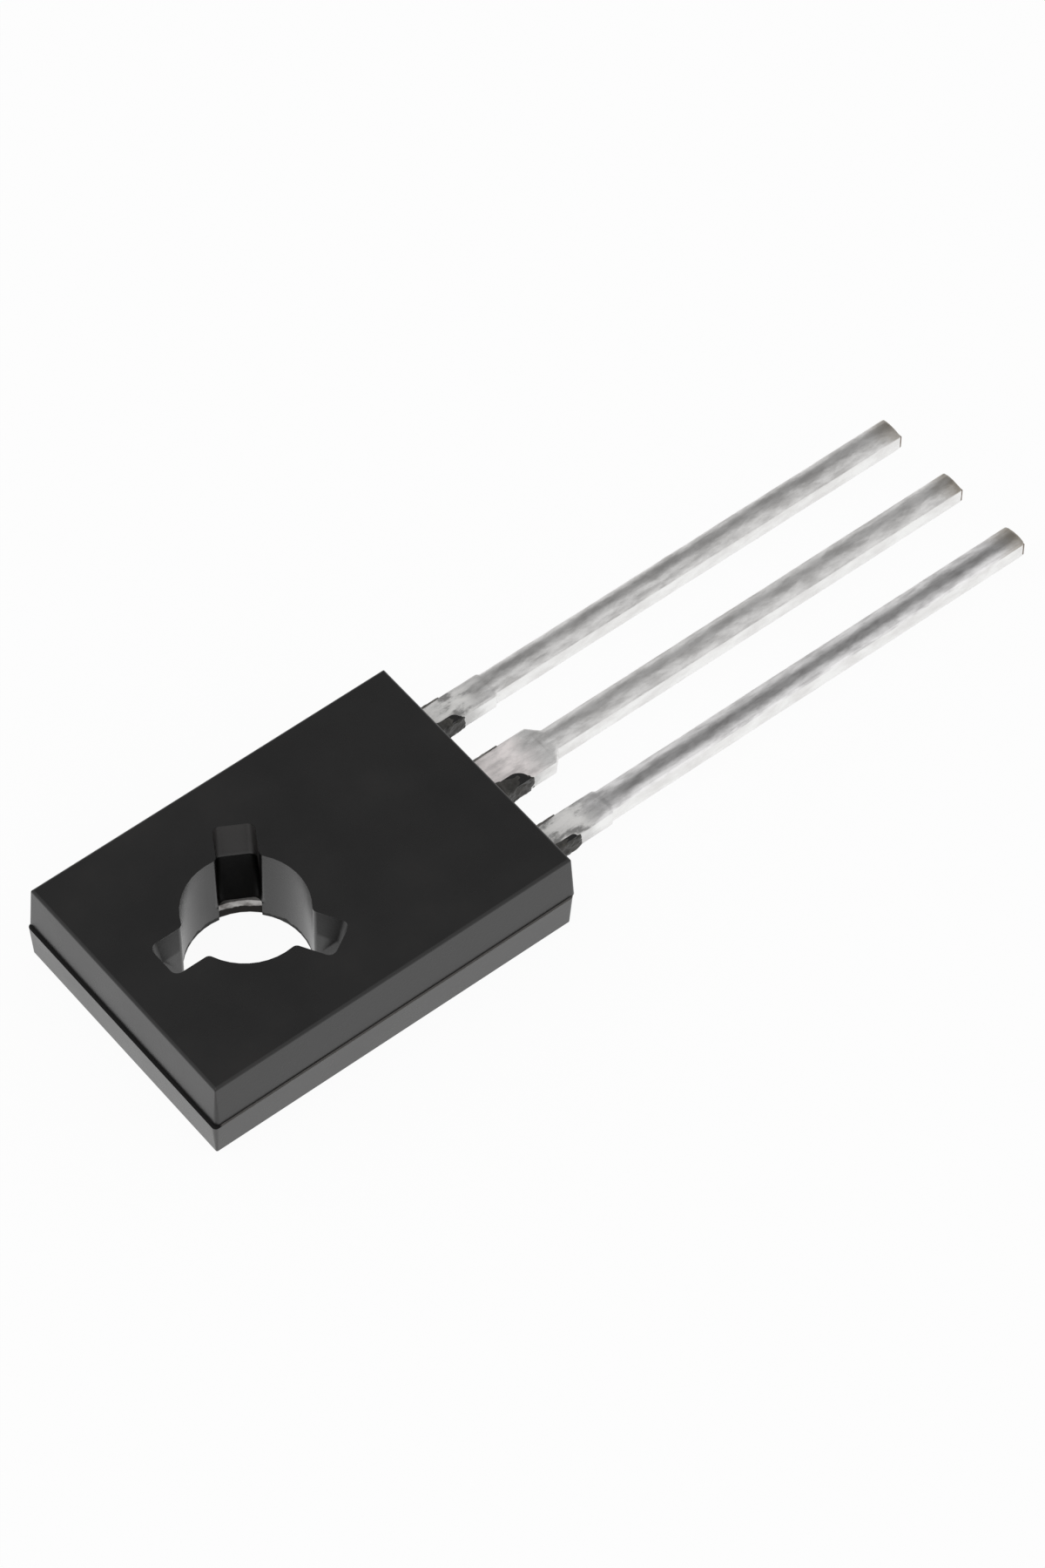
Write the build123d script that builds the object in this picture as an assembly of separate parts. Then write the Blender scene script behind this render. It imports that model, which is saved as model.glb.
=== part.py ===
"""Three-lead power transistor: a copper heat spreader, chip and leads moulded into a drilled epoxy body.

X runs along the leads, from the screw hole toward the lead tips.
Y runs across the leads, with the emitter at -Y and the base at +Y.
Z is up.  Z = 0 is the mounting face, and the origin is the screw hole's axis on that face.
All sizes are in millimetres.
"""

from build123d import *
from math import hypot, radians, tan
import os

# ---------------------------------------------------------------- moulded body
body_thickness = 2.50
body_length = 10.95             # each half, at the parting plane
body_width = 7.56
parting_height = 1.09           # where the two mould halves meet, above the mounting face
hole_to_end = 3.90              # screw hole's axis to the lower half's end away from the leads
hole_offset = 0.085             # and from the lower half's centre line, toward the base lead
upper_shift_along = 0.08        # the mould halves meet a little out of line: the upper one
upper_shift_across = 0.05       # sits toward the leads and toward the base side
draft_angle = 3.8
corner_radius = 0.12            # upright corners
drafted_corner_radius = 0.02    # the least of them that the draft may leave, at each half's far face
top_edge_radius = 0.08
bottom_edge_radius = 0.05

# ---------------------------------------------------------------- screw hole and its three notches
screw_hole_radius = 1.60
sleeve_wall = 0.06              # epoxy left between the screw hole and the spreader's own hole
notch_angles = (60, 180, 300)   # left by the core's fins, which hold the spreader down in the mould
notch_width = 1.06
notch_root_radius = 1.72        # at the spreader's top face
notch_step_radius = 2.32        # where the ramp up from the spreader turns into a steep end wall
notch_step_depth = 1.00
notch_mouth_radius = 2.50       # in the body's top face
notch_end_radius = 0.20         # upright corners of the notch's outer end
notch_corner_radius = 0.15      # where the notch sides meet the hole's wall

# ---------------------------------------------------------------- stamped copper strip
sheet_thickness = 0.50
lead_plane = 1.00               # underside of the leads above the mounting face
lead_pitch = 2.29
spreader_end_cover = 0.97       # epoxy past the spreader, at the screw end
spreader_side_cover = 1.18      # and along each side
spreader_lead_cover = 2.48      # and at the lead end
spreader_corner_radius = 0.30
offset_run = 1.05               # length of the step from the spreader up to the lead plane
offset_bend_radius = 0.35       # on the sheet's middle line
neck_width = 2.15               # the strip across the step
lead_length = 15.47             # lead end of the body to the tips, at the centre lead
trim_angle = 2.0                # the tips are sheared along one line, turned by this much
lead_width = 0.70
centre_root_width = 1.28
centre_root_length = 2.02       # the wide root's length outside the body
outer_root_width = 0.83
outer_root_length = 2.12
lead_edge_radius = 0.06         # stamped and plated edges

# ---------------------------------------------------------------- bond posts inside the body
post_length = 1.20
post_width = 1.70
post_cover = 0.60               # epoxy between the posts and the body's lead end
post_side_cover = 0.62          # epoxy between the posts and the body's sides
post_corner_chamfer = 0.30

# ---------------------------------------------------------------- resin flash on the leads' -Y sides
flash_side = 0.03               # film thickness on the lead's side
flash_top = 0.02                # and on its top
flash_anchor = 0.30             # how far each film reaches back into the body
centre_flash_length = 1.20
centre_flash_width = 0.36
outer_flash_length = 1.00
emitter_flash_width = 0.10
base_flash_width = 0.20

# ---------------------------------------------------------------- chip, solder and bond wires
die_length = 1.80
die_width = 1.50
die_thickness = 0.25
die_setback = 1.30              # chip's centre to the spreader's lead end
solder_thickness = 0.04
solder_margin = 0.10            # solder showing round the chip
wire_cover = 0.30               # epoxy over the highest point of a bond wire
emitter_wire_diameter = 0.25
base_wire_diameter = 0.18
emitter_pad = (0.30, -0.38)     # bond places on the chip, from its centre
base_pad = (0.30, 0.42)
wire_foot_length = 0.45
wire_foot_spread = 1.5          # a wedge bond's width, in wire diameters
wire_foot_squash = 0.6          # and its height
wire_bend_radius = 0.30

# ---------------------------------------------------------------- places that follow from the sizes
lead_end_x = body_length - hole_to_end
spreader_start_x = spreader_end_cover - hole_to_end
spreader_end_x = lead_end_x - spreader_lead_cover
spreader_width = body_width - 2 * spreader_side_cover
spreader_hole_radius = screw_hole_radius + sleeve_wall
lead_top = lead_plane + sheet_thickness
lead_start_x = spreader_end_x + offset_run
tip_x = lead_end_x + lead_length
post_end_x = lead_end_x - post_cover
die_x = spreader_end_x - die_setback
die_base = sheet_thickness + solder_thickness
die_top = die_base + die_thickness
post_centre_y = body_width / 2 - post_side_cover - post_width / 2


def mould_half(centre_x, centre_y, height):
    """One half of the body, drafted away from the parting plane."""
    inset = abs(height) * tan(radians(draft_angle))
    plan = RectangleRounded(body_length, body_width, max(corner_radius, drafted_corner_radius + inset))
    return extrude(Pos(centre_x, centre_y, parting_height) * plan, amount=height, taper=draft_angle)


def outer_form():
    """Both mould halves, alike in plan, with the upper one set slightly off the lower."""
    centre_x = body_length / 2 - hole_to_end
    centre_y = -hole_offset
    lower = mould_half(centre_x, centre_y, -parting_height)
    upper = mould_half(
        centre_x + upper_shift_along,
        centre_y + upper_shift_across,
        body_thickness - parting_height,
    )
    lower = fillet(lower.faces().sort_by(Axis.Z)[0].edges(), bottom_edge_radius)
    upper = fillet(upper.faces().sort_by(Axis.Z)[-1].edges(), top_edge_radius)
    return lower + upper


def core_fin(angle):
    """A fin of the hole's core: a ramp that rises from the spreader, then a steep end wall."""
    above = body_thickness + notch_step_depth
    outline = Polyline(
        (0, sheet_thickness),
        (notch_root_radius, sheet_thickness),
        (notch_step_radius, body_thickness - notch_step_depth),
        (notch_mouth_radius, body_thickness),
        (notch_mouth_radius, above),
        (0, above),
        close=True,
    )
    fin = extrude(Plane.XZ * make_face(outline), amount=notch_width / 2, both=True)
    rising = fin.edges().filter_by(Axis.Y, reverse=True)
    corners = rising.filter_by(lambda edge: edge.center().X > notch_root_radius)
    fin = fillet(corners, notch_end_radius)
    return Rot(0, 0, angle) * fin


def hole_core():
    """What the mould's core leaves: the screw hole, its notches and the bare stretches of spreader."""
    above = body_thickness + notch_step_depth
    upright = (Align.CENTER, Align.CENTER, Align.MIN)
    upper = Pos(0, 0, sheet_thickness) * Cylinder(screw_hole_radius, above - sheet_thickness, align=upright)
    for angle in notch_angles:
        upper += core_fin(angle)
    rims = [
        edge
        for edge in upper.edges().filter_by(Axis.Z)
        if abs(hypot(edge.center().X, edge.center().Y) - screw_hole_radius) < 0.001
    ]
    upper = fillet(rims, notch_corner_radius)
    lower = Cylinder(screw_hole_radius, sheet_thickness, align=upright)
    for angle in notch_angles:
        bare = Box(
            notch_root_radius,
            notch_width,
            sheet_thickness,
            align=(Align.MIN, Align.CENTER, Align.MIN),
        )
        lower += Rot(0, 0, angle) * bare
    return upper + lower


def lead_outline(centre_y, root_width, root_length):
    """Plan of one lead, from inside the body to its sheared tip."""
    start_x = post_end_x
    root_x = lead_end_x + root_length
    shoulder = (root_width - lead_width) / 2
    near = centre_y - lead_width / 2
    far = centre_y + lead_width / 2
    outline = Polyline(
        (start_x, centre_y - root_width / 2),
        (root_x, centre_y - root_width / 2),
        (root_x + shoulder, near),
        (tip_x - near * tan(radians(trim_angle)), near),
        (tip_x - far * tan(radians(trim_angle)), far),
        (root_x + shoulder, far),
        (root_x, centre_y + root_width / 2),
        (start_x, centre_y + root_width / 2),
        close=True,
    )
    return make_face(outline)


def lead_bar(centre_y, root_width, root_length):
    """One flat lead with its softened edges."""
    outline = lead_outline(centre_y, root_width, root_length)
    bar = extrude(Pos(0, 0, lead_plane) * outline, amount=sheet_thickness)
    faces = bar.faces().sort_by(Axis.Z)
    return fillet(faces[0].edges() + faces[-1].edges(), lead_edge_radius)


def collector_strip():
    """Heat spreader and stepped neck, stamped and bent from one strip."""
    middle = sheet_thickness / 2
    bend_line = FilletPolyline(
        (spreader_start_x, 0, middle),
        (spreader_end_x, 0, middle),
        (lead_start_x, 0, lead_plane + middle),
        (post_end_x, 0, lead_plane + middle),
        radius=offset_bend_radius,
    )
    start = Plane((spreader_start_x, 0, middle), x_dir=(0, 1, 0), z_dir=(1, 0, 0))
    strip = sweep(start * Rectangle(spreader_width, sheet_thickness), path=bend_line)
    plate = Pos((spreader_start_x + spreader_end_x) / 2, 0) * RectangleRounded(
        spreader_end_x - spreader_start_x, spreader_width, spreader_corner_radius
    )
    neck = make_face(
        Polyline(
            (spreader_end_x - spreader_corner_radius, neck_width / 2),
            (lead_start_x, neck_width / 2),
            (post_end_x, centre_root_width / 2),
            (post_end_x, -centre_root_width / 2),
            (lead_start_x, -neck_width / 2),
            (spreader_end_x - spreader_corner_radius, -neck_width / 2),
            close=True,
        )
    )
    blank = plate + neck - Circle(spreader_hole_radius)
    return strip & extrude(blank, amount=lead_top)


def collector_frame():
    """The spreader and its neck run on into the centre lead."""
    return collector_strip() + lead_bar(0, centre_root_width, centre_root_length)


def outer_lead(side):
    """Emitter (side -1) or base (side +1) lead, with the wide post where its bond wire lands."""
    post = Pos(post_end_x - post_length / 2, side * post_centre_y) * chamfer(
        Rectangle(post_length, post_width).vertices(), post_corner_chamfer
    )
    post = extrude(Pos(0, 0, lead_plane) * post, amount=sheet_thickness)
    return post + lead_bar(side * lead_pitch, outer_root_width, outer_root_length)


def silicon_die():
    """The transistor chip, on its bed of solder."""
    return Pos(die_x, 0, die_base) * Box(
        die_length, die_width, die_thickness, align=(Align.CENTER, Align.CENTER, Align.MIN)
    )


def die_solder():
    """Thin solder bed between the chip and the spreader."""
    bed = RectangleRounded(die_length + 2 * solder_margin, die_width + 2 * solder_margin, solder_margin)
    return extrude(Pos(die_x, 0, sheet_thickness) * bed, amount=solder_thickness)


def bond_wire(pad, side, diameter):
    """Wedge-bonded wire: a flat foot on the chip, a loop, and a flat foot on the lead's post."""
    start = Vector(die_x + pad[0], pad[1])
    end = Vector(post_end_x - post_length / 2, side * post_centre_y)
    span = (end - start).length
    radius = diameter / 2
    crest = body_thickness - wire_cover - radius
    along = Plane(start, x_dir=end - start, z_dir=(end - start).cross(Vector(0, 0, 1)))
    loop = FilletPolyline(
        (0, die_top + radius),
        (wire_foot_length, die_top + radius),
        (span / 2, crest),
        (span - wire_foot_length, lead_top + radius),
        (span, lead_top + radius),
        radius=wire_bend_radius,
    )
    loop = along * loop
    wire = sweep(Plane(loop @ 0, z_dir=loop % 0) * Circle(radius), path=loop)
    for distance, height in ((0, die_top), (span, lead_top)):
        foot = Box(
            wire_foot_length,
            wire_foot_spread * diameter,
            wire_foot_squash * diameter,
            align=(Align.CENTER, Align.CENTER, Align.MIN),
        )
        place = along.from_local_coords(Vector(distance, 0, 0))
        turn = Vector(1, 0, 0).get_signed_angle(end - start, Vector(0, 0, 1))
        wire += Pos(place.X, place.Y, height) * Rot(0, 0, turn) * foot
    return wire


def flash(centre_y, root_width, length, width):
    """Resin that crept along a lead's side and over the edge of its top."""
    side_y = centre_y - root_width / 2
    start_x = lead_end_x - flash_anchor
    end_x = lead_end_x + length
    outline = Pos((start_x + end_x) / 2, side_y + (width - flash_side) / 2) * Rectangle(
        end_x - start_x, width + flash_side
    )
    tip = outline.vertices().group_by(Axis.X)[-1].sort_by(Axis.Y)[-1]
    outline = fillet(tip, width)
    return extrude(Pos(0, 0, lead_plane) * outline, amount=sheet_thickness + flash_top)


def body_moulding(insides):
    """Epoxy round everything else, with the screw hole, its notches and the flash on the leads."""
    body = outer_form() - hole_core()
    body += flash(0, centre_root_width, centre_flash_length, centre_flash_width)
    body += flash(-lead_pitch, outer_root_width, outer_flash_length, emitter_flash_width)
    body += flash(lead_pitch, outer_root_width, outer_flash_length, base_flash_width)
    for inside in insides:
        body -= inside
    return body


def model():
    """Every piece by its name."""
    pieces = {
        "collector_frame": collector_frame(),
        "emitter_lead": outer_lead(-1),
        "base_lead": outer_lead(1),
        "die_solder": die_solder(),
        "silicon_die": silicon_die(),
        "emitter_bond_wire": bond_wire(emitter_pad, -1, emitter_wire_diameter),
        "base_bond_wire": bond_wire(base_pad, 1, base_wire_diameter),
    }
    pieces["body_moulding"] = body_moulding(list(pieces.values()))
    return pieces


os.makedirs("parts", exist_ok=True)
for name, piece in model().items():
    export_step(piece, f"parts/{name}.step")
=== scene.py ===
import math

import bmesh
import bpy
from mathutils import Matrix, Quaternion, Vector


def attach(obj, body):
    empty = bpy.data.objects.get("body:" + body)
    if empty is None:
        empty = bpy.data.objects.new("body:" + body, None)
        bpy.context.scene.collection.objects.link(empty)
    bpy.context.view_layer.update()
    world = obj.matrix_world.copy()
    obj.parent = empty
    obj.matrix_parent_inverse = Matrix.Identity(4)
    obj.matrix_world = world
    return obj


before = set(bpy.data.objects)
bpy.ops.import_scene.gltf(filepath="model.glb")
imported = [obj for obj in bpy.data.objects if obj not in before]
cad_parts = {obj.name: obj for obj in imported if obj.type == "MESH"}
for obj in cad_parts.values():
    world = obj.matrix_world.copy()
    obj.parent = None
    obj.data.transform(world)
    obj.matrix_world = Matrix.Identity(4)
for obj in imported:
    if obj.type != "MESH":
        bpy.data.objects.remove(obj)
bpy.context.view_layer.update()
MM = 0.001

# ---------------------------------------------------------------- camera
# Looks down on the package from beyond its screw-hole end, through a long lens,
# so that the leads run away to the upper right.
camera_aim = Vector((8.671, 0.192, 0.0)) * MM
camera_azimuth = math.radians(230.974)
camera_elevation = math.radians(53.795)
camera_distance = 162.1 * MM
camera_roll = math.radians(0.525)

toward_camera = Vector((
    math.cos(camera_azimuth) * math.cos(camera_elevation),
    math.sin(camera_azimuth) * math.cos(camera_elevation),
    math.sin(camera_elevation),
))
camera_data = bpy.data.cameras.new("camera")
camera_data.lens = 150.0
camera_data.sensor_width = 36.0
camera_data.clip_start = 0.005
camera_data.clip_end = 5.0
camera = bpy.data.objects.new("camera", camera_data)
bpy.context.scene.collection.objects.link(camera)
camera.location = camera_aim + toward_camera * camera_distance
camera.rotation_mode = "QUATERNION"
camera.rotation_quaternion = Quaternion(toward_camera, camera_roll) @ toward_camera.to_track_quat("Z", "Y")
bpy.context.scene.camera = camera
bpy.context.scene.view_settings.view_transform = "Standard"


# ---------------------------------------------------------------- floor
# A plain white sheet that the part lies on.  The camera and bright metal see it glow white,
# and the small share that is lit like any sheet takes the part's soft shadow.
def plain_material(name):
    """A node material with its nodes, its links and its Principled shader."""
    material = bpy.data.materials.new(name)
    material.use_nodes = True
    nodes = material.node_tree.nodes
    return material, nodes, material.node_tree.links, nodes["Principled BSDF"]


floor_size = 2.0
floor_drop = 0.01 * MM  # keeps it clear of the mounting face
floor_glow = 0.94       # how much of the white that is seen is the sheet's own
bpy.ops.object.select_all(action="DESELECT")
bpy.ops.mesh.primitive_plane_add(size=floor_size, location=(0, 0, 0))
floor = bpy.context.object
floor.name = "floor"
bpy.ops.object.mode_set(mode="EDIT")
bpy.ops.mesh.select_all(action="SELECT")
bpy.ops.transform.translate(value=(0, 0, -floor_drop))
bpy.ops.object.mode_set(mode="OBJECT")
floor_material, nodes, links, sheet = plain_material("white_sheet")
sheet.inputs["Base Color"].default_value = (0.9, 0.9, 0.9, 1)
sheet.inputs["Roughness"].default_value = 0.9
sheet.inputs["Specular IOR Level"].default_value = 0.0
glow = nodes.new("ShaderNodeEmission")
ray = nodes.new("ShaderNodeLightPath")
seen = nodes.new("ShaderNodeMath")
seen.operation = "MAXIMUM"
links.new(ray.outputs["Is Camera Ray"], seen.inputs[0])
links.new(ray.outputs["Is Glossy Ray"], seen.inputs[1])
share = nodes.new("ShaderNodeMath")
share.operation = "MULTIPLY"
share.inputs[1].default_value = floor_glow
links.new(seen.outputs[0], share.inputs[0])
mix = nodes.new("ShaderNodeMixShader")
links.new(share.outputs[0], mix.inputs[0])
links.new(sheet.outputs[0], mix.inputs[1])
links.new(glow.outputs[0], mix.inputs[2])
links.new(mix.outputs[0], nodes["Material Output"].inputs["Surface"])
floor.data.materials.append(floor_material)

# ---------------------------------------------------------------- light
# A pale tent all round, with one dim panel behind the part, and a soft lamp overhead.
# The dim panel is what the flat top faces mirror.  The camera sees the tent as plain white.
tent_strength = 0.75
panel_strength = 0.32
panel_direction = Vector((0.385, 0.530, 0.755))
panel_core = math.cos(math.radians(6))      # evenly dim inside this angle
panel_edge = math.cos(math.radians(33))     # and faded into the tent at this one
world = bpy.data.worlds.new("tent")
bpy.context.scene.world = world
world.use_nodes = True
nodes = world.node_tree.nodes
links = world.node_tree.links
background = nodes["Background"]
background.inputs["Color"].default_value = (1, 1, 1, 1)
direction = nodes.new("ShaderNodeTexCoord")
toward_panel = nodes.new("ShaderNodeVectorMath")
toward_panel.operation = "DOT_PRODUCT"
toward_panel.inputs[1].default_value = panel_direction
links.new(direction.outputs["Generated"], toward_panel.inputs[0])
brightness = nodes.new("ShaderNodeMapRange")
brightness.interpolation_type = "SMOOTHSTEP"
brightness.inputs["From Min"].default_value = panel_edge
brightness.inputs["From Max"].default_value = panel_core
brightness.inputs["To Min"].default_value = tent_strength
brightness.inputs["To Max"].default_value = panel_strength
links.new(toward_panel.outputs["Value"], brightness.inputs["Value"])
ray = nodes.new("ShaderNodeLightPath")
full_white_to_camera = nodes.new("ShaderNodeMix")
full_white_to_camera.inputs["B"].default_value = 1.0
links.new(ray.outputs["Is Camera Ray"], full_white_to_camera.inputs["Factor"])
links.new(brightness.outputs["Result"], full_white_to_camera.inputs["A"])
links.new(full_white_to_camera.outputs["Result"], background.inputs["Strength"])

lamp_diameter = 0.30
lamp_power = 0.15
lamp_place = (-0.16, -0.10, 0.36)
lamp_data = bpy.data.lights.new("softbox", "AREA")
lamp_data.shape = "DISK"
lamp_data.size = lamp_diameter
lamp_data.energy = lamp_power
lamp = bpy.data.objects.new("softbox", lamp_data)
bpy.context.scene.collection.objects.link(lamp)
lamp.location = lamp_place
lamp.rotation_mode = "QUATERNION"
lamp.rotation_quaternion = lamp.location.to_track_quat("Z", "Y")


# ---------------------------------------------------------------- moulded body
# Black epoxy moulding compound, cured in a two-part steel mould round the leads and the chip.
# The skin is even and satin, with the faint grain of the spark-eroded cavity, and it is duller at the
# hole's foot and in the notches' mouths.  Painted light makes its lower half lighter, and its ledge
# and the base-side notch mouth pale; painted shade makes it near black deep in the screw hole.
def object_noise(nodes, links, stretch, scale, detail, roughness=0.55, shift=(0, 0, 0)):
    """Noise over the piece itself, stretched along X, Y and Z, in features per metre."""
    place = nodes.new("ShaderNodeTexCoord")
    mapping = nodes.new("ShaderNodeMapping")
    mapping.inputs["Location"].default_value = shift
    mapping.inputs["Scale"].default_value = stretch
    links.new(place.outputs["Object"], mapping.inputs["Vector"])
    noise = nodes.new("ShaderNodeTexNoise")
    noise.inputs["Scale"].default_value = scale
    noise.inputs["Detail"].default_value = detail
    noise.inputs["Roughness"].default_value = roughness
    links.new(mapping.outputs["Vector"], noise.inputs["Vector"])
    return noise.outputs["Fac"]


def shade_between(nodes, links, factor, stops):
    """A colour that follows the factor through the given stops."""
    ramp = nodes.new("ShaderNodeValToRGB")
    for stop, (position, colour) in zip(ramp.color_ramp.elements, (stops[0], stops[-1])):
        stop.position = position
        stop.color = (*colour, 1)
    for position, colour in stops[1:-1]:
        stop = ramp.color_ramp.elements.new(position)
        stop.color = (*colour, 1)
    links.new(factor, ramp.inputs["Fac"])
    return ramp.outputs["Color"]


def value_between(nodes, links, factor, low, high, from_low=0.3, from_high=0.7):
    """A number from low to high, as the factor goes from from_low to from_high, where most noise lies."""
    span = nodes.new("ShaderNodeMapRange")
    span.inputs["From Min"].default_value = from_low
    span.inputs["From Max"].default_value = from_high
    span.inputs["To Min"].default_value = low
    span.inputs["To Max"].default_value = high
    links.new(factor, span.inputs["Value"])
    return span.outputs["Result"]


def past(nodes, links, factor, start, full):
    """A mask: nothing up to the start, and all from full on."""
    return value_between(nodes, links, factor, 0, 1, start, full)


def short_of(nodes, links, factor, full, end):
    """A mask: all up to full, and nothing from the end on."""
    return value_between(nodes, links, factor, 1, 0, full, end)


def own_place(nodes, links):
    """The piece's own X, Y and Z at each point."""
    place = nodes.new("ShaderNodeTexCoord")
    parts = nodes.new("ShaderNodeSeparateXYZ")
    links.new(place.outputs["Object"], parts.inputs["Vector"])
    return parts.outputs


def from_screw_axis(nodes, links):
    """Each point's distance from the screw hole's axis."""
    place = nodes.new("ShaderNodeTexCoord")
    flat = nodes.new("ShaderNodeVectorMath")
    flat.operation = "MULTIPLY"
    flat.inputs[1].default_value = (1, 1, 0)
    links.new(place.outputs["Object"], flat.inputs[0])
    distance = nodes.new("ShaderNodeVectorMath")
    distance.operation = "LENGTH"
    links.new(flat.outputs["Vector"], distance.inputs[0])
    return distance.outputs["Value"]


def where_all(nodes, links, *masks):
    """A mask of what lies inside all of the masks."""
    share = masks[0]
    for mask in masks[1:]:
        product = nodes.new("ShaderNodeMath")
        product.operation = "MULTIPLY"
        links.new(share, product.inputs[0])
        links.new(mask, product.inputs[1])
        share = product.outputs["Value"]
    return share


def lay_over(nodes, links, mask, under, over):
    """Lays a colour, or another node's colour, over the one beneath where the mask holds."""
    layers = nodes.new("ShaderNodeMix")
    layers.data_type = "RGBA"
    lower = layers.inputs[6]    # the node's numbers and vectors have sockets of the same names
    upper = layers.inputs[7]
    links.new(mask, layers.inputs[0])
    links.new(under, lower)
    if isinstance(over, tuple):
        upper.default_value = (*over, 1)
    else:
        links.new(over, upper)
    return layers.outputs[2]


def plus_share(nodes, links, start, share, amount):
    """The starting value plus so much of the amount as the share says."""
    total = nodes.new("ShaderNodeMath")
    total.operation = "MULTIPLY_ADD"
    total.inputs[1].default_value = amount
    links.new(share, total.inputs[0])
    links.new(start, total.inputs[2])
    return total.outputs["Value"]


def raise_grain(nodes, links, shader, height, distance):
    """Surface relief that follows a height, up to the given distance."""
    bump = nodes.new("ShaderNodeBump")
    bump.inputs["Distance"].default_value = distance
    links.new(height, bump.inputs["Height"])
    links.new(bump.outputs["Normal"], shader.inputs["Normal"])


def finish_node(name, material):
    """Gives one of the CAD solids its finish."""
    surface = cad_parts[name].data
    surface.materials.clear()
    surface.materials.append(material)


body_top = 2.50 * MM
parting_height = 1.09 * MM
ledge_half = 0.006 * MM         # the height of the ledge painted pale as painted light, above and below the parting plane
ledge_start = -3.66 * MM        # the end face away from the leads has none
hole_radius = 1.60 * MM
notch_reach = 2.75 * MM         # past the far end of each notch
notch_ramp_top = 1.50 * MM      # where its ramp turns into the steep end wall
foot_height = 0.30 * MM         # the hole's worn foot reaches up to this, less some of the wander
foot_wander = 0.40 * MM
grain_depth = 0.0025 * MM
painted_hole_shade = (0.0014, 0.0013, 0.0012)
painted_mouth_light = (0.038, 0.036, 0.035)     # painted light on the mouth of the notch on the base lead's side
painted_ledge_light = (0.125, 0.120, 0.114)
mouth_dullness = 0.18
foot_dullness = 0.45
epoxy_index = 1.56

epoxy, nodes, links, skin = plain_material("black_epoxy")
clouding = object_noise(nodes, links, stretch=(1, 1, 1), scale=450, detail=4)
upper_skin = shade_between(nodes, links, clouding, (
    (0.30, (0.0030, 0.0028, 0.0028)), (0.55, (0.0046, 0.0043, 0.0043)), (0.75, (0.0075, 0.0066, 0.0062)),
))
# painted sheen: the lower half is coloured lighter than the upper, for the brighter look of its sides
lower_skin_painted_lighter = shade_between(nodes, links, clouding, (
    (0.30, (0.021, 0.0205, 0.0195)), (0.70, (0.029, 0.0285, 0.0275)),
))
at = own_place(nodes, links)
from_axis = from_screw_axis(nodes, links)
above_parting = past(nodes, links, at["Z"], parting_height - 0.03 * MM, parting_height)
ledge_bottom = parting_height - ledge_half
ledge_top = parting_height + ledge_half
on_painted_ledge = where_all(
    nodes, links,
    past(nodes, links, at["Z"], ledge_bottom - 0.002 * MM, ledge_bottom),
    short_of(nodes, links, at["Z"], ledge_top, ledge_top + 0.002 * MM),
    past(nodes, links, at["X"], ledge_start - 0.06 * MM, ledge_start),
)
in_hole = short_of(nodes, links, from_axis, notch_reach, notch_reach + 0.10 * MM)
below_rim = short_of(nodes, links, at["Z"], body_top - 0.70 * MM, body_top - 0.50 * MM)
painted_shade_in_hole = where_all(nodes, links, in_hole, below_rim)
in_mouths = where_all(
    nodes, links, in_hole,
    past(nodes, links, from_axis, hole_radius + 0.06 * MM, hole_radius + 0.12 * MM),
    past(nodes, links, at["Z"], notch_ramp_top, notch_ramp_top + 0.10 * MM),
    short_of(nodes, links, at["Z"], body_top - 0.02 * MM, body_top - 0.01 * MM),
)
base_side = past(nodes, links, at["Y"], 1.20 * MM, 1.30 * MM)
painted_light_in_base_mouth = where_all(nodes, links, in_mouths, base_side)
halves = lay_over(nodes, links, above_parting, lower_skin_painted_lighter, upper_skin)
# painted light: the ledge at the parting line is coloured pale where it would show dark
with_ledge = lay_over(nodes, links, on_painted_ledge, halves, painted_ledge_light)
# painted shade: the screw hole below its rim is coloured near black
with_hole = lay_over(nodes, links, painted_shade_in_hole, with_ledge, painted_hole_shade)
# painted light: the mouth of the notch on the base lead's side is coloured paler
with_mouth = lay_over(nodes, links, painted_light_in_base_mouth, with_hole, painted_mouth_light)
links.new(with_mouth, skin.inputs["Base Color"])
foot_wear = object_noise(nodes, links, stretch=(1, 1, 0.3), scale=2600, detail=3)
worn_height = plus_share(nodes, links, at["Z"], foot_wear, foot_wander)
near_foot = short_of(nodes, links, worn_height, foot_height, foot_height + 0.03 * MM)
at_hole_foot = where_all(nodes, links, in_hole, near_foot)
satin = value_between(nodes, links, clouding, 0.24, 0.32)
with_dull_mouths = plus_share(nodes, links, satin, in_mouths, mouth_dullness)
with_dull_foot = plus_share(nodes, links, with_dull_mouths, at_hole_foot, foot_dullness)
links.new(with_dull_foot, skin.inputs["Roughness"])
cavity_grain = object_noise(nodes, links, stretch=(1, 1, 1), scale=14000, detail=3, roughness=0.6)
raise_grain(nodes, links, skin, cavity_grain, grain_depth)
skin.inputs["IOR"].default_value = epoxy_index
finish_node("body_moulding", epoxy)

# ---------------------------------------------------------------- heat spreader and leads
# Stamped from copper strip.  The pad and the hole's edge took tin, and the sheared tips are bare copper.
# Punching burnished the upper part of the hole's edge and tore the lower part, which is coloured near
# black:
# the rough tear plus painted shade deep in the hole.
strip_thickness = 0.50 * MM
burnished_depth = 0.22 * MM
tear_wander = 0.16 * MM
rim_radius = 1.75 * MM          # of the edge round the spreader's hole, darkened in mottles as painted shade
bare_copper_start = 22.0 * MM   # just short of the tips
scuff_depth = 0.006 * MM
torn_edge_painted_shade = (0.035, 0.032, 0.030)
copper_shade = (0.20, 0.155, 0.125)

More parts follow.
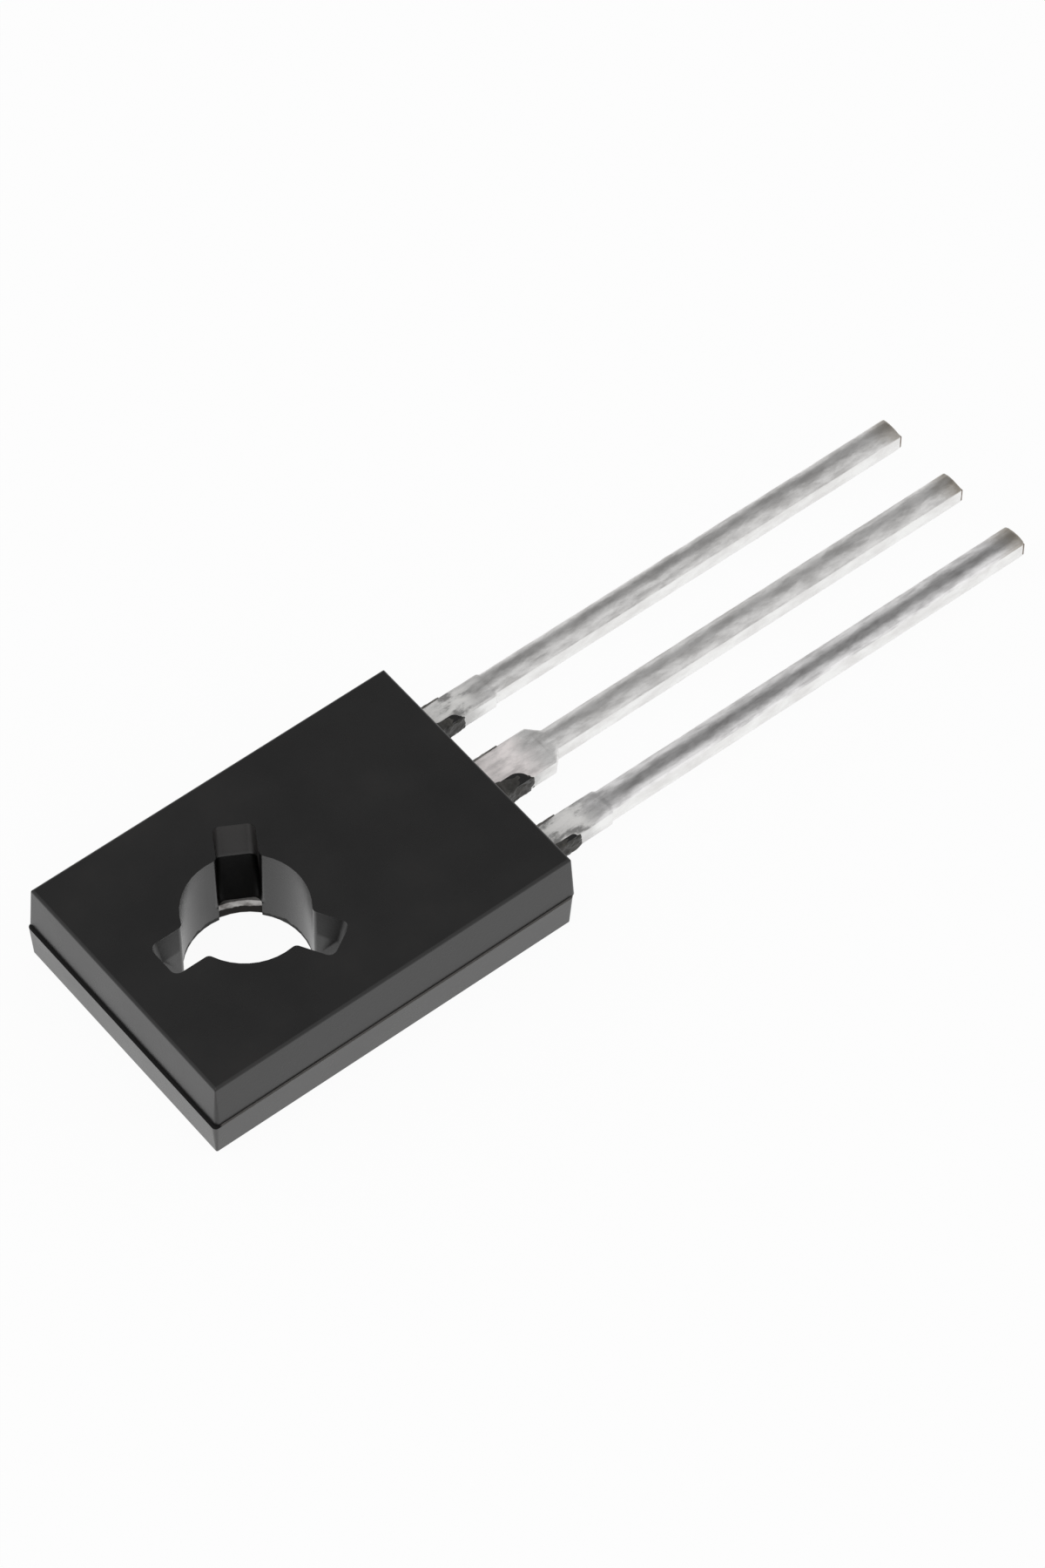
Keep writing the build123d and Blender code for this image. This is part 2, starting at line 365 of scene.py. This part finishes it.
strip, nodes, links, metal = plain_material("tinned_strip")
blotches = object_noise(nodes, links, stretch=(1, 1, 1), scale=900, detail=6, roughness=0.6)
pad_tin = shade_between(nodes, links, blotches, (
    (0.30, (0.40, 0.39, 0.375)), (0.50, (0.52, 0.51, 0.495)), (0.70, (0.62, 0.61, 0.60)),
))
rim_shade_mottle = object_noise(nodes, links, stretch=(1, 1, 1), scale=3200, detail=4)
painted_shade_rim_tin = shade_between(nodes, links, rim_shade_mottle, (
    (0.35, (0.14, 0.13, 0.125)), (0.62, (0.42, 0.41, 0.40)),
))
at = own_place(nodes, links)
tear = object_noise(nodes, links, stretch=(1, 1, 0.25), scale=5200, detail=4)
torn_height = plus_share(nodes, links, at["Z"], tear, tear_wander)
tear_line = strip_thickness - burnished_depth + 0.06 * MM
torn_shaded_edge = where_all(
    nodes, links,
    short_of(nodes, links, torn_height, tear_line, tear_line + 0.04 * MM),
    past(nodes, links, at["Z"], 0.005 * MM, 0.02 * MM),
)
at_rim = short_of(nodes, links, from_screw_axis(nodes, links), rim_radius, rim_radius + 0.05 * MM)
at_tip = past(nodes, links, at["X"], bare_copper_start, bare_copper_start + 0.10 * MM)
# painted shade: the spreader round the hole's foot is coloured darker, in mottles
with_rim = lay_over(nodes, links, at_rim, pad_tin, painted_shade_rim_tin)
# the torn lower part of the hole's edge is coloured near black: its rough tear plus painted shade
with_tear = lay_over(nodes, links, torn_shaded_edge, with_rim, torn_edge_painted_shade)
with_tip = lay_over(nodes, links, at_tip, with_tear, copper_shade)
links.new(with_tip, metal.inputs["Base Color"])
metal.inputs["Metallic"].default_value = 1.0
duller_where_torn = value_between(nodes, links, torn_shaded_edge, 0.38, 0.75, 0.0, 1.0)
links.new(duller_where_torn, metal.inputs["Roughness"])
scuff = object_noise(nodes, links, stretch=(1, 6, 1), scale=2600, detail=5)
raise_grain(nodes, links, metal, scuff, scuff_depth)
for name in ("collector_frame", "emitter_lead", "base_lead"):
    finish_node(name, strip)

# ---------------------------------------------------------------- tin on the leads
# Each lead was dipped in molten tin to within two millimetres of the body.  The melt drew up into a
# crown on the flat copper and froze in long streaks.  The root next to the body has a thin plate only.
lead_end = 7.05 * MM            # the body's end on the leads' side
lead_bottom = 1.00 * MM
lead_top = 1.50 * MM
lead_width = 0.70 * MM
lead_pitch = 2.29 * MM
outer_root_width = 0.83 * MM
outer_root_length = 2.12 * MM
centre_root_width = 1.28 * MM
centre_root_length = 2.02 * MM
lead_tip = 22.52 * MM
trim_slope = math.tan(math.radians(2.0))    # the tips are sheared along one slanting line
coat_thickness = 0.012 * MM
reach_into_body = 0.15 * MM     # of the tin and of the flash
soft_edge = 0.11 * MM
bare_tip = 0.015 * MM
dip_line = lead_end + 1.85 * MM
crown_run = 0.40 * MM           # the crown rises over this length past the dip line
ring_spacing = 0.45 * MM
ring_count = 33
streak_depth = 0.030 * MM
wander = 1.2 * MM               # of the edges between the tin's finishes, along the lead
tip_shade = (0.36, 0.33, 0.29)


def pick(piece, wanted):
    """Selects the points of the piece in hand that lie where wanted says."""
    bpy.ops.mesh.select_mode(type="VERT")
    shape = bmesh.from_edit_mesh(piece.data)
    for point in shape.verts:
        point.select_set(bool(wanted(point.co)))
    shape.select_flush_mode()
    bmesh.update_edit_mesh(piece.data)


def block(name, low, high):
    """A cube drawn out between two corners, left open for editing."""
    bpy.ops.object.select_all(action="DESELECT")
    bpy.ops.mesh.primitive_cube_add(size=1)
    piece = bpy.context.object
    piece.name = name
    piece.data.name = name
    bpy.ops.object.mode_set(mode="EDIT")
    bpy.ops.mesh.select_all(action="SELECT")
    bpy.ops.transform.resize(value=[b - a for a, b in zip(low, high)])
    bpy.ops.transform.translate(value=[(a + b) / 2 for a, b in zip(low, high)])
    return piece


def cut_across(axis, places):
    """Cuts the piece in hand square to one axis at each place."""
    normal = [0, 0, 0]
    normal[axis] = 1
    for place in places:
        point = [0, 0, 0]
        point[axis] = place
        bpy.ops.mesh.select_all(action="SELECT")
        bpy.ops.mesh.bisect(plane_co=point, plane_no=normal, threshold=0.001 * MM)


def ripple(piece, name, grain, stretch, depth, seed):
    """Swells the surface unevenly by cloud noise, which each seed shifts."""
    clouds = bpy.data.textures.new(name, "CLOUDS")
    clouds.noise_scale = 1.0
    clouds.noise_depth = 2
    guide = bpy.data.objects.new(name, None)
    bpy.context.scene.collection.objects.link(guide)
    guide.location = (seed * 0.01, seed * 0.007, 0)
    guide.scale = [grain * part for part in stretch]
    bpy.context.view_layer.update()
    swell = piece.modifiers.new(name, "DISPLACE")
    swell.texture = clouds
    swell.texture_coords = "OBJECT"
    swell.texture_coords_object = guide
    swell.strength = depth
    swell.mid_level = 0.5
    bpy.ops.object.modifier_apply(modifier=swell.name)
    bpy.data.objects.remove(guide)


def dipped_lead(name, centre, root_width, root_length, crown, seed):
    """The tin on one lead.  crown gives its rise at five places from the near side to the far side."""
    half = lead_width / 2 + coat_thickness
    low = lead_bottom - coat_thickness
    high = lead_top + coat_thickness
    start = lead_end - reach_into_body
    end = lead_tip - centre * trim_slope - bare_tip
    root = lead_end + root_length
    neck = root + (root_width - lead_width) / 2
    coat = block(name, (start, centre - half, low), (end, centre + half, high))

    # rings and lines close together keep the corners crisp where the rounding comes
    apart = 0.1 * MM
    rings = [start + ring_spacing * k for k in range(1, ring_count + 1)]
    rings = [x for x in rings if x < root - apart or neck + apart < x < end - apart]
    rings += [root - 0.035 * MM, root, root + 0.03 * MM]
    rings += [neck - 0.03 * MM, neck, neck + 0.035 * MM]
    rings += [end - 0.05 * MM, dip_line - 0.05 * MM]
    lines = [-half, -half + soft_edge, -half / 2, 0, half / 2, half - soft_edge, half]
    cut_across(0, rings)
    cut_across(1, [centre + line for line in lines[1:-1]])
    cut_across(2, (low + soft_edge, (low + high) / 2, high - soft_edge))

    close = 0.01 * MM
    for line in lines:
        step = min(len(crown) - 2, int((line + half) / (half / 2)))
        share = (line + half) / (half / 2) - step
        rise = crown[step] * (1 - share) + crown[step + 1] * share
        for foot in (dip_line, dip_line + crown_run):
            pick(coat, lambda p: p.x > foot and p.z > high - close and abs(p.y - centre - line) < close)
            bpy.ops.transform.translate(value=(0, 0, rise / 2))
    # the root is wider than the lead, and narrows to it at the neck
    wide_rings = [start] + [x for x in rings if x < neck - close]
    for x in wide_rings:
        width = min(root_width, root_width - 2 * (x - root))
        spare = width / 2 + coat_thickness - half
        for side in (-1, 1):
            pick(coat, lambda p: abs(p.x - x) < 0.002 * MM and side * (p.y - centre) > half / 2 + close)
            bpy.ops.transform.translate(value=(0, side * spare, 0))
    bpy.ops.object.mode_set(mode="OBJECT")

    rounding = coat.modifiers.new("rounding", "SUBSURF")
    rounding.levels = 2
    rounding.render_levels = 2
    bpy.ops.object.modifier_apply(modifier=rounding.name)
    ripple(coat, "long_ripple", grain=0.30 * MM, stretch=(6, 1, 1), depth=0.016 * MM, seed=seed)
    ripple(coat, "short_ripple", grain=0.13 * MM, stretch=(2, 1, 1), depth=0.008 * MM, seed=seed + 3)
    bpy.ops.object.shade_smooth()
    return coat


def tin_finish(name, dark, mid, pale, streak_seed, root_tone, root_stain, ridge, painted_ridge_darkness):
    """Frozen tin in long streaks, brown at the tip and stained on the root, with painted shade along the
    crown's ridge and painted light on the sides.

    ridge is the crest's place across the leads, where painted shade darkens the tin.  The ridge's darkness
    and root_stain are how much of the tone the darkest places on the crest and on the root keep.
    """
    material, nodes, links, metal = plain_material(name)
    at = own_place(nodes, links)
    streak_shift = (streak_seed, streak_seed * 0.37, 0)
    streaks = object_noise(
        nodes, links, stretch=(0.35, 1, 1), scale=4000, detail=5, roughness=0.6, shift=streak_shift,
    )
    streaky = shade_between(nodes, links, streaks, ((0.38, dark), (0.50, mid), (0.61, pale)))
    from_ridge = nodes.new("ShaderNodeMath")
    from_ridge.operation = "SUBTRACT"
    from_ridge.inputs[1].default_value = ridge
    links.new(at["Y"], from_ridge.inputs[0])
    either_side = nodes.new("ShaderNodeMath")
    either_side.operation = "ABSOLUTE"
    links.new(from_ridge.outputs["Value"], either_side.inputs[0])
    # painted shade: the tin is darkened along the crown's ridge
    painted_ridge_shading = value_between(
        nodes, links, either_side.outputs["Value"], painted_ridge_darkness, 1.0, 0.07 * MM, 0.22 * MM,
    )
    dipped = nodes.new("ShaderNodeVectorMath")
    dipped.operation = "SCALE"
    links.new(streaky, dipped.inputs[0])
    links.new(painted_ridge_shading, dipped.inputs["Scale"])

    plating_stain = object_noise(nodes, links, stretch=(0.45, 1, 1), scale=3400, detail=5, roughness=0.62)
    stained_tone = tuple(root_stain * part for part in root_tone)
    dimmed_tone = tuple(0.88 * part for part in root_tone)
    plated = shade_between(nodes, links, plating_stain, (
        (0.37, stained_tone), (0.49, dimmed_tone), (0.60, root_tone),
    ))
    mottle = object_noise(nodes, links, stretch=(0.6, 1, 1), scale=1900, detail=5, roughness=0.62)
    # painted light: the lead's sides, below its top, are coloured pale tin, brighter than the top
    painted_bright_sides = shade_between(nodes, links, mottle, (
        (0.36, (0.80, 0.79, 0.78)), (0.60, (0.93, 0.93, 0.92)),
    ))
    along = plus_share(nodes, links, at["X"], mottle, wander)
    in_dip = past(nodes, links, along, dip_line + 0.15 * MM, dip_line + 0.65 * MM)
    at_tip = past(nodes, links, along, lead_tip - 0.20 * MM, lead_tip + 0.55 * MM)
    on_painted_sides = short_of(nodes, links, at["Z"], lead_top - 0.05 * MM, lead_top - 0.01 * MM)
    with_dip = lay_over(nodes, links, in_dip, plated, dipped.outputs["Vector"])
    with_tip = lay_over(nodes, links, at_tip, with_dip, tip_shade)
    # the painted light on the sides lies over everything else, the brown tip too
    with_sides = lay_over(nodes, links, on_painted_sides, with_tip, painted_bright_sides)
    links.new(with_sides, metal.inputs["Base Color"])
    links.new(value_between(nodes, links, in_dip, 0.50, 0.92, 0.0, 1.0), metal.inputs["Metallic"])
    links.new(value_between(nodes, links, in_dip, 0.65, 0.33, 0.0, 1.0), metal.inputs["Roughness"])
    raise_grain(nodes, links, metal, mottle, streak_depth)
    return material


near_tin = tin_finish(
    "emitter_tin", dark=(0.62, 0.61, 0.61), mid=(0.80, 0.79, 0.79), pale=(0.92, 0.91, 0.91),
    streak_seed=0.0, root_tone=(0.86, 0.85, 0.835), root_stain=0.36,
    ridge=-lead_pitch - 0.08 * MM, painted_ridge_darkness=0.62,
)
middle_tin = tin_finish(
    "collector_tin", dark=(0.66, 0.65, 0.64), mid=(0.79, 0.78, 0.77), pale=(0.90, 0.89, 0.88),
    streak_seed=0.3, root_tone=(0.97, 0.92, 0.91), root_stain=0.70,
    ridge=0.02 * MM, painted_ridge_darkness=0.88,
)
far_tin = tin_finish(
    "base_tin", dark=(0.62, 0.61, 0.60), mid=(0.76, 0.75, 0.74), pale=(0.88, 0.87, 0.86),
    streak_seed=0.7, root_tone=(0.86, 0.85, 0.835), root_stain=0.36,
    ridge=lead_pitch + 0.06 * MM, painted_ridge_darkness=0.80,
)
emitter_tin = dipped_lead(
    "emitter_lead_tin", -lead_pitch, outer_root_width, outer_root_length,
    crown=(0.072 * MM, 0.119 * MM, 0.128 * MM, 0.080 * MM, -0.008 * MM), seed=1,
)
collector_tin = dipped_lead(
    "collector_lead_tin", 0.0, centre_root_width, centre_root_length,
    crown=(0.0, 0.050 * MM, 0.086 * MM, 0.060 * MM, -0.008 * MM), seed=2,
)
base_tin = dipped_lead(
    "base_lead_tin", lead_pitch, outer_root_width, outer_root_length,
    crown=(0.0, 0.046 * MM, 0.086 * MM, 0.074 * MM, 0.006 * MM), seed=4,
)
for coat, finish in ((emitter_tin, near_tin), (collector_tin, middle_tin), (base_tin, far_tin)):
    coat.data.materials.clear()
    coat.data.materials.append(finish)
    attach(coat, "root")

# ---------------------------------------------------------------- resin flash beside the leads
# Epoxy that the closed mould let out beside each lead.  On the near side it is a ragged, brittle lip
# that tapers along the lead's edge, and on the far side a film so thin that it looks pale.
outer_flash_length = 1.00 * MM
centre_flash_length = 1.20 * MM
lip_rounding = 0.07 * MM
film_rounding = 0.02 * MM
crumb = 0.06 * MM
crumb_depth = 0.02 * MM
taper_places = (0.45, 0.58, 0.70, 0.82, 0.93)   # shares of the lip's length
taper = (1, 0.86, 0.95)                         # the width and height left past each of them


def flash_finish(name, dark, mid, pale):
    """Broken, crumbly epoxy; the thinner it is, the paler."""
    material, nodes, links, skin = plain_material(name)
    crumble = object_noise(nodes, links, stretch=(1, 1, 1), scale=3800, detail=5, roughness=0.6)
    shades = shade_between(nodes, links, crumble, ((0.30, dark), (0.55, mid), (0.75, pale)))
    links.new(shades, skin.inputs["Base Color"])
    links.new(value_between(nodes, links, crumble, 0.35, 0.6), skin.inputs["Roughness"])
    raise_grain(nodes, links, skin, crumble, crumb_depth)
    return material


def resin_lip(name, low, high, drawn_to, round_over, seed, finish):
    """One lip of flash between two corners: rounded, cut small, drawn in toward a line and crumbled."""
    lip = block(name, low, high)
    bpy.ops.mesh.select_all(action="SELECT")
    bpy.ops.mesh.bevel(offset=round_over, segments=3, profile=0.5, affect="EDGES")
    for axis in (0, 1, 2):
        span = high[axis] - low[axis] - 2 * round_over
        steps = max(2, int(span / crumb))
        cut_across(axis, [low[axis] + round_over + span * k / steps for k in range(1, steps)])
    for share in taper_places:
        start = low[0] + share * (high[0] - low[0])
        pick(lip, lambda p: p.x > start)
        bpy.ops.transform.resize(value=taper, center_override=(0, *drawn_to))
    bpy.ops.object.mode_set(mode="OBJECT")
    rounding = lip.modifiers.new("rounding", "SUBSURF")
    rounding.levels = 1
    rounding.render_levels = 1
    bpy.ops.object.modifier_apply(modifier=rounding.name)
    ripple(lip, "lip_swell", grain=0.17 * MM, stretch=(1, 1, 1), depth=1.2 * round_over, seed=seed)
    ripple(lip, "lip_crumble", grain=0.08 * MM, stretch=(1, 1, 1), depth=0.016 * MM, seed=seed + 5)
    bpy.ops.object.shade_smooth()
    lip.data.materials.clear()
    lip.data.materials.append(finish)
    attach(lip, "root")


flash_epoxy = flash_finish(
    "flash_epoxy", dark=(0.016, 0.015, 0.013), mid=(0.030, 0.028, 0.024), pale=(0.075, 0.070, 0.062),
)
flash_film = flash_finish(
    "flash_film", dark=(0.070, 0.066, 0.060), mid=(0.14, 0.133, 0.124), pale=(0.27, 0.26, 0.245),
)
flash_start = lead_end - reach_into_body
for lead, centre, root_width, length, reach in (
    ("emitter", -lead_pitch, outer_root_width, outer_flash_length, 0.10 * MM),
    ("collector", 0.0, centre_root_width, centre_flash_length, 0.36 * MM),
    ("base", lead_pitch, outer_root_width, outer_flash_length, 0.20 * MM),
):
    near = centre - root_width / 2
    far = centre + root_width / 2
    # the near lip thickens the plain film that the moulded body has there, and the far side has none
    resin_lip(
        lead + "_flash",
        low=(flash_start, near - 0.075 * MM, lead_bottom - 0.05 * MM),
        high=(lead_end + length + 0.13 * MM, near + reach + 0.05 * MM, lead_top + 0.07 * MM),
        drawn_to=(near + 0.2 * reach - 0.05 * MM, lead_bottom + 0.20 * MM),
        round_over=lip_rounding, seed=11 + centre / lead_pitch, finish=flash_epoxy,
    )
    resin_lip(
        lead + "_flash_trace",
        low=(flash_start, far - 0.06 * MM, lead_bottom),
        high=(lead_end + length - 0.05 * MM, far + 0.022 * MM, lead_top + 0.026 * MM),
        drawn_to=(far + 0.01 * MM, lead_top),
        round_over=film_rounding, seed=21 + centre / lead_pitch, finish=flash_film,
    )

# ---------------------------------------------------------------- chip and its solder
# A chip of diffused silicon, sawn from its wafer and set in lead-rich solder on the spreader.
# The solder froze with a frosted skin.  Both lie sealed inside the moulding.
chip, nodes, links, skin = plain_material("diffused_silicon")
wafer_haze = object_noise(nodes, links, stretch=(1, 1, 1), scale=1800, detail=3)
wafer_shades = shade_between(nodes, links, wafer_haze, (
    (0.35, (0.10, 0.105, 0.125)), (0.65, (0.15, 0.158, 0.185)),
))
links.new(wafer_shades, skin.inputs["Base Color"])
skin.inputs["Metallic"].default_value = 0.6
links.new(value_between(nodes, links, wafer_haze, 0.14, 0.24), skin.inputs["Roughness"])
finish_node("silicon_die", chip)

chip_solder, nodes, links, metal = plain_material("chip_solder")
frost = object_noise(nodes, links, stretch=(1, 1, 1), scale=5200, detail=4)
frosted_shades = shade_between(nodes, links, frost, (
    (0.30, (0.30, 0.30, 0.31)), (0.70, (0.48, 0.48, 0.49)),
))
links.new(frosted_shades, metal.inputs["Base Color"])
metal.inputs["Metallic"].default_value = 1.0
links.new(value_between(nodes, links, frost, 0.40, 0.60), metal.inputs["Roughness"])
raise_grain(nodes, links, metal, frost, 0.01 * MM)
finish_node("die_solder", chip_solder)

# ---------------------------------------------------------------- bond wires
# Drawn aluminium wire, with the faint lines of its drawing die.  Each wire is wedge-bonded
# to the chip and to the post of an outer lead, and is sealed inside the moulding.
wire, nodes, links, metal = plain_material("bond_aluminium")
draw_lines = object_noise(nodes, links, stretch=(1, 1, 0.5), scale=9000, detail=3)
drawn_shades = shade_between(nodes, links, draw_lines, (
    (0.30, (0.66, 0.66, 0.67)), (0.70, (0.82, 0.82, 0.83)),
))
links.new(drawn_shades, metal.inputs["Base Color"])
metal.inputs["Metallic"].default_value = 1.0
links.new(value_between(nodes, links, draw_lines, 0.25, 0.38), metal.inputs["Roughness"])
for name in ("emitter_bond_wire", "base_bond_wire"):
    finish_node(name, wire)
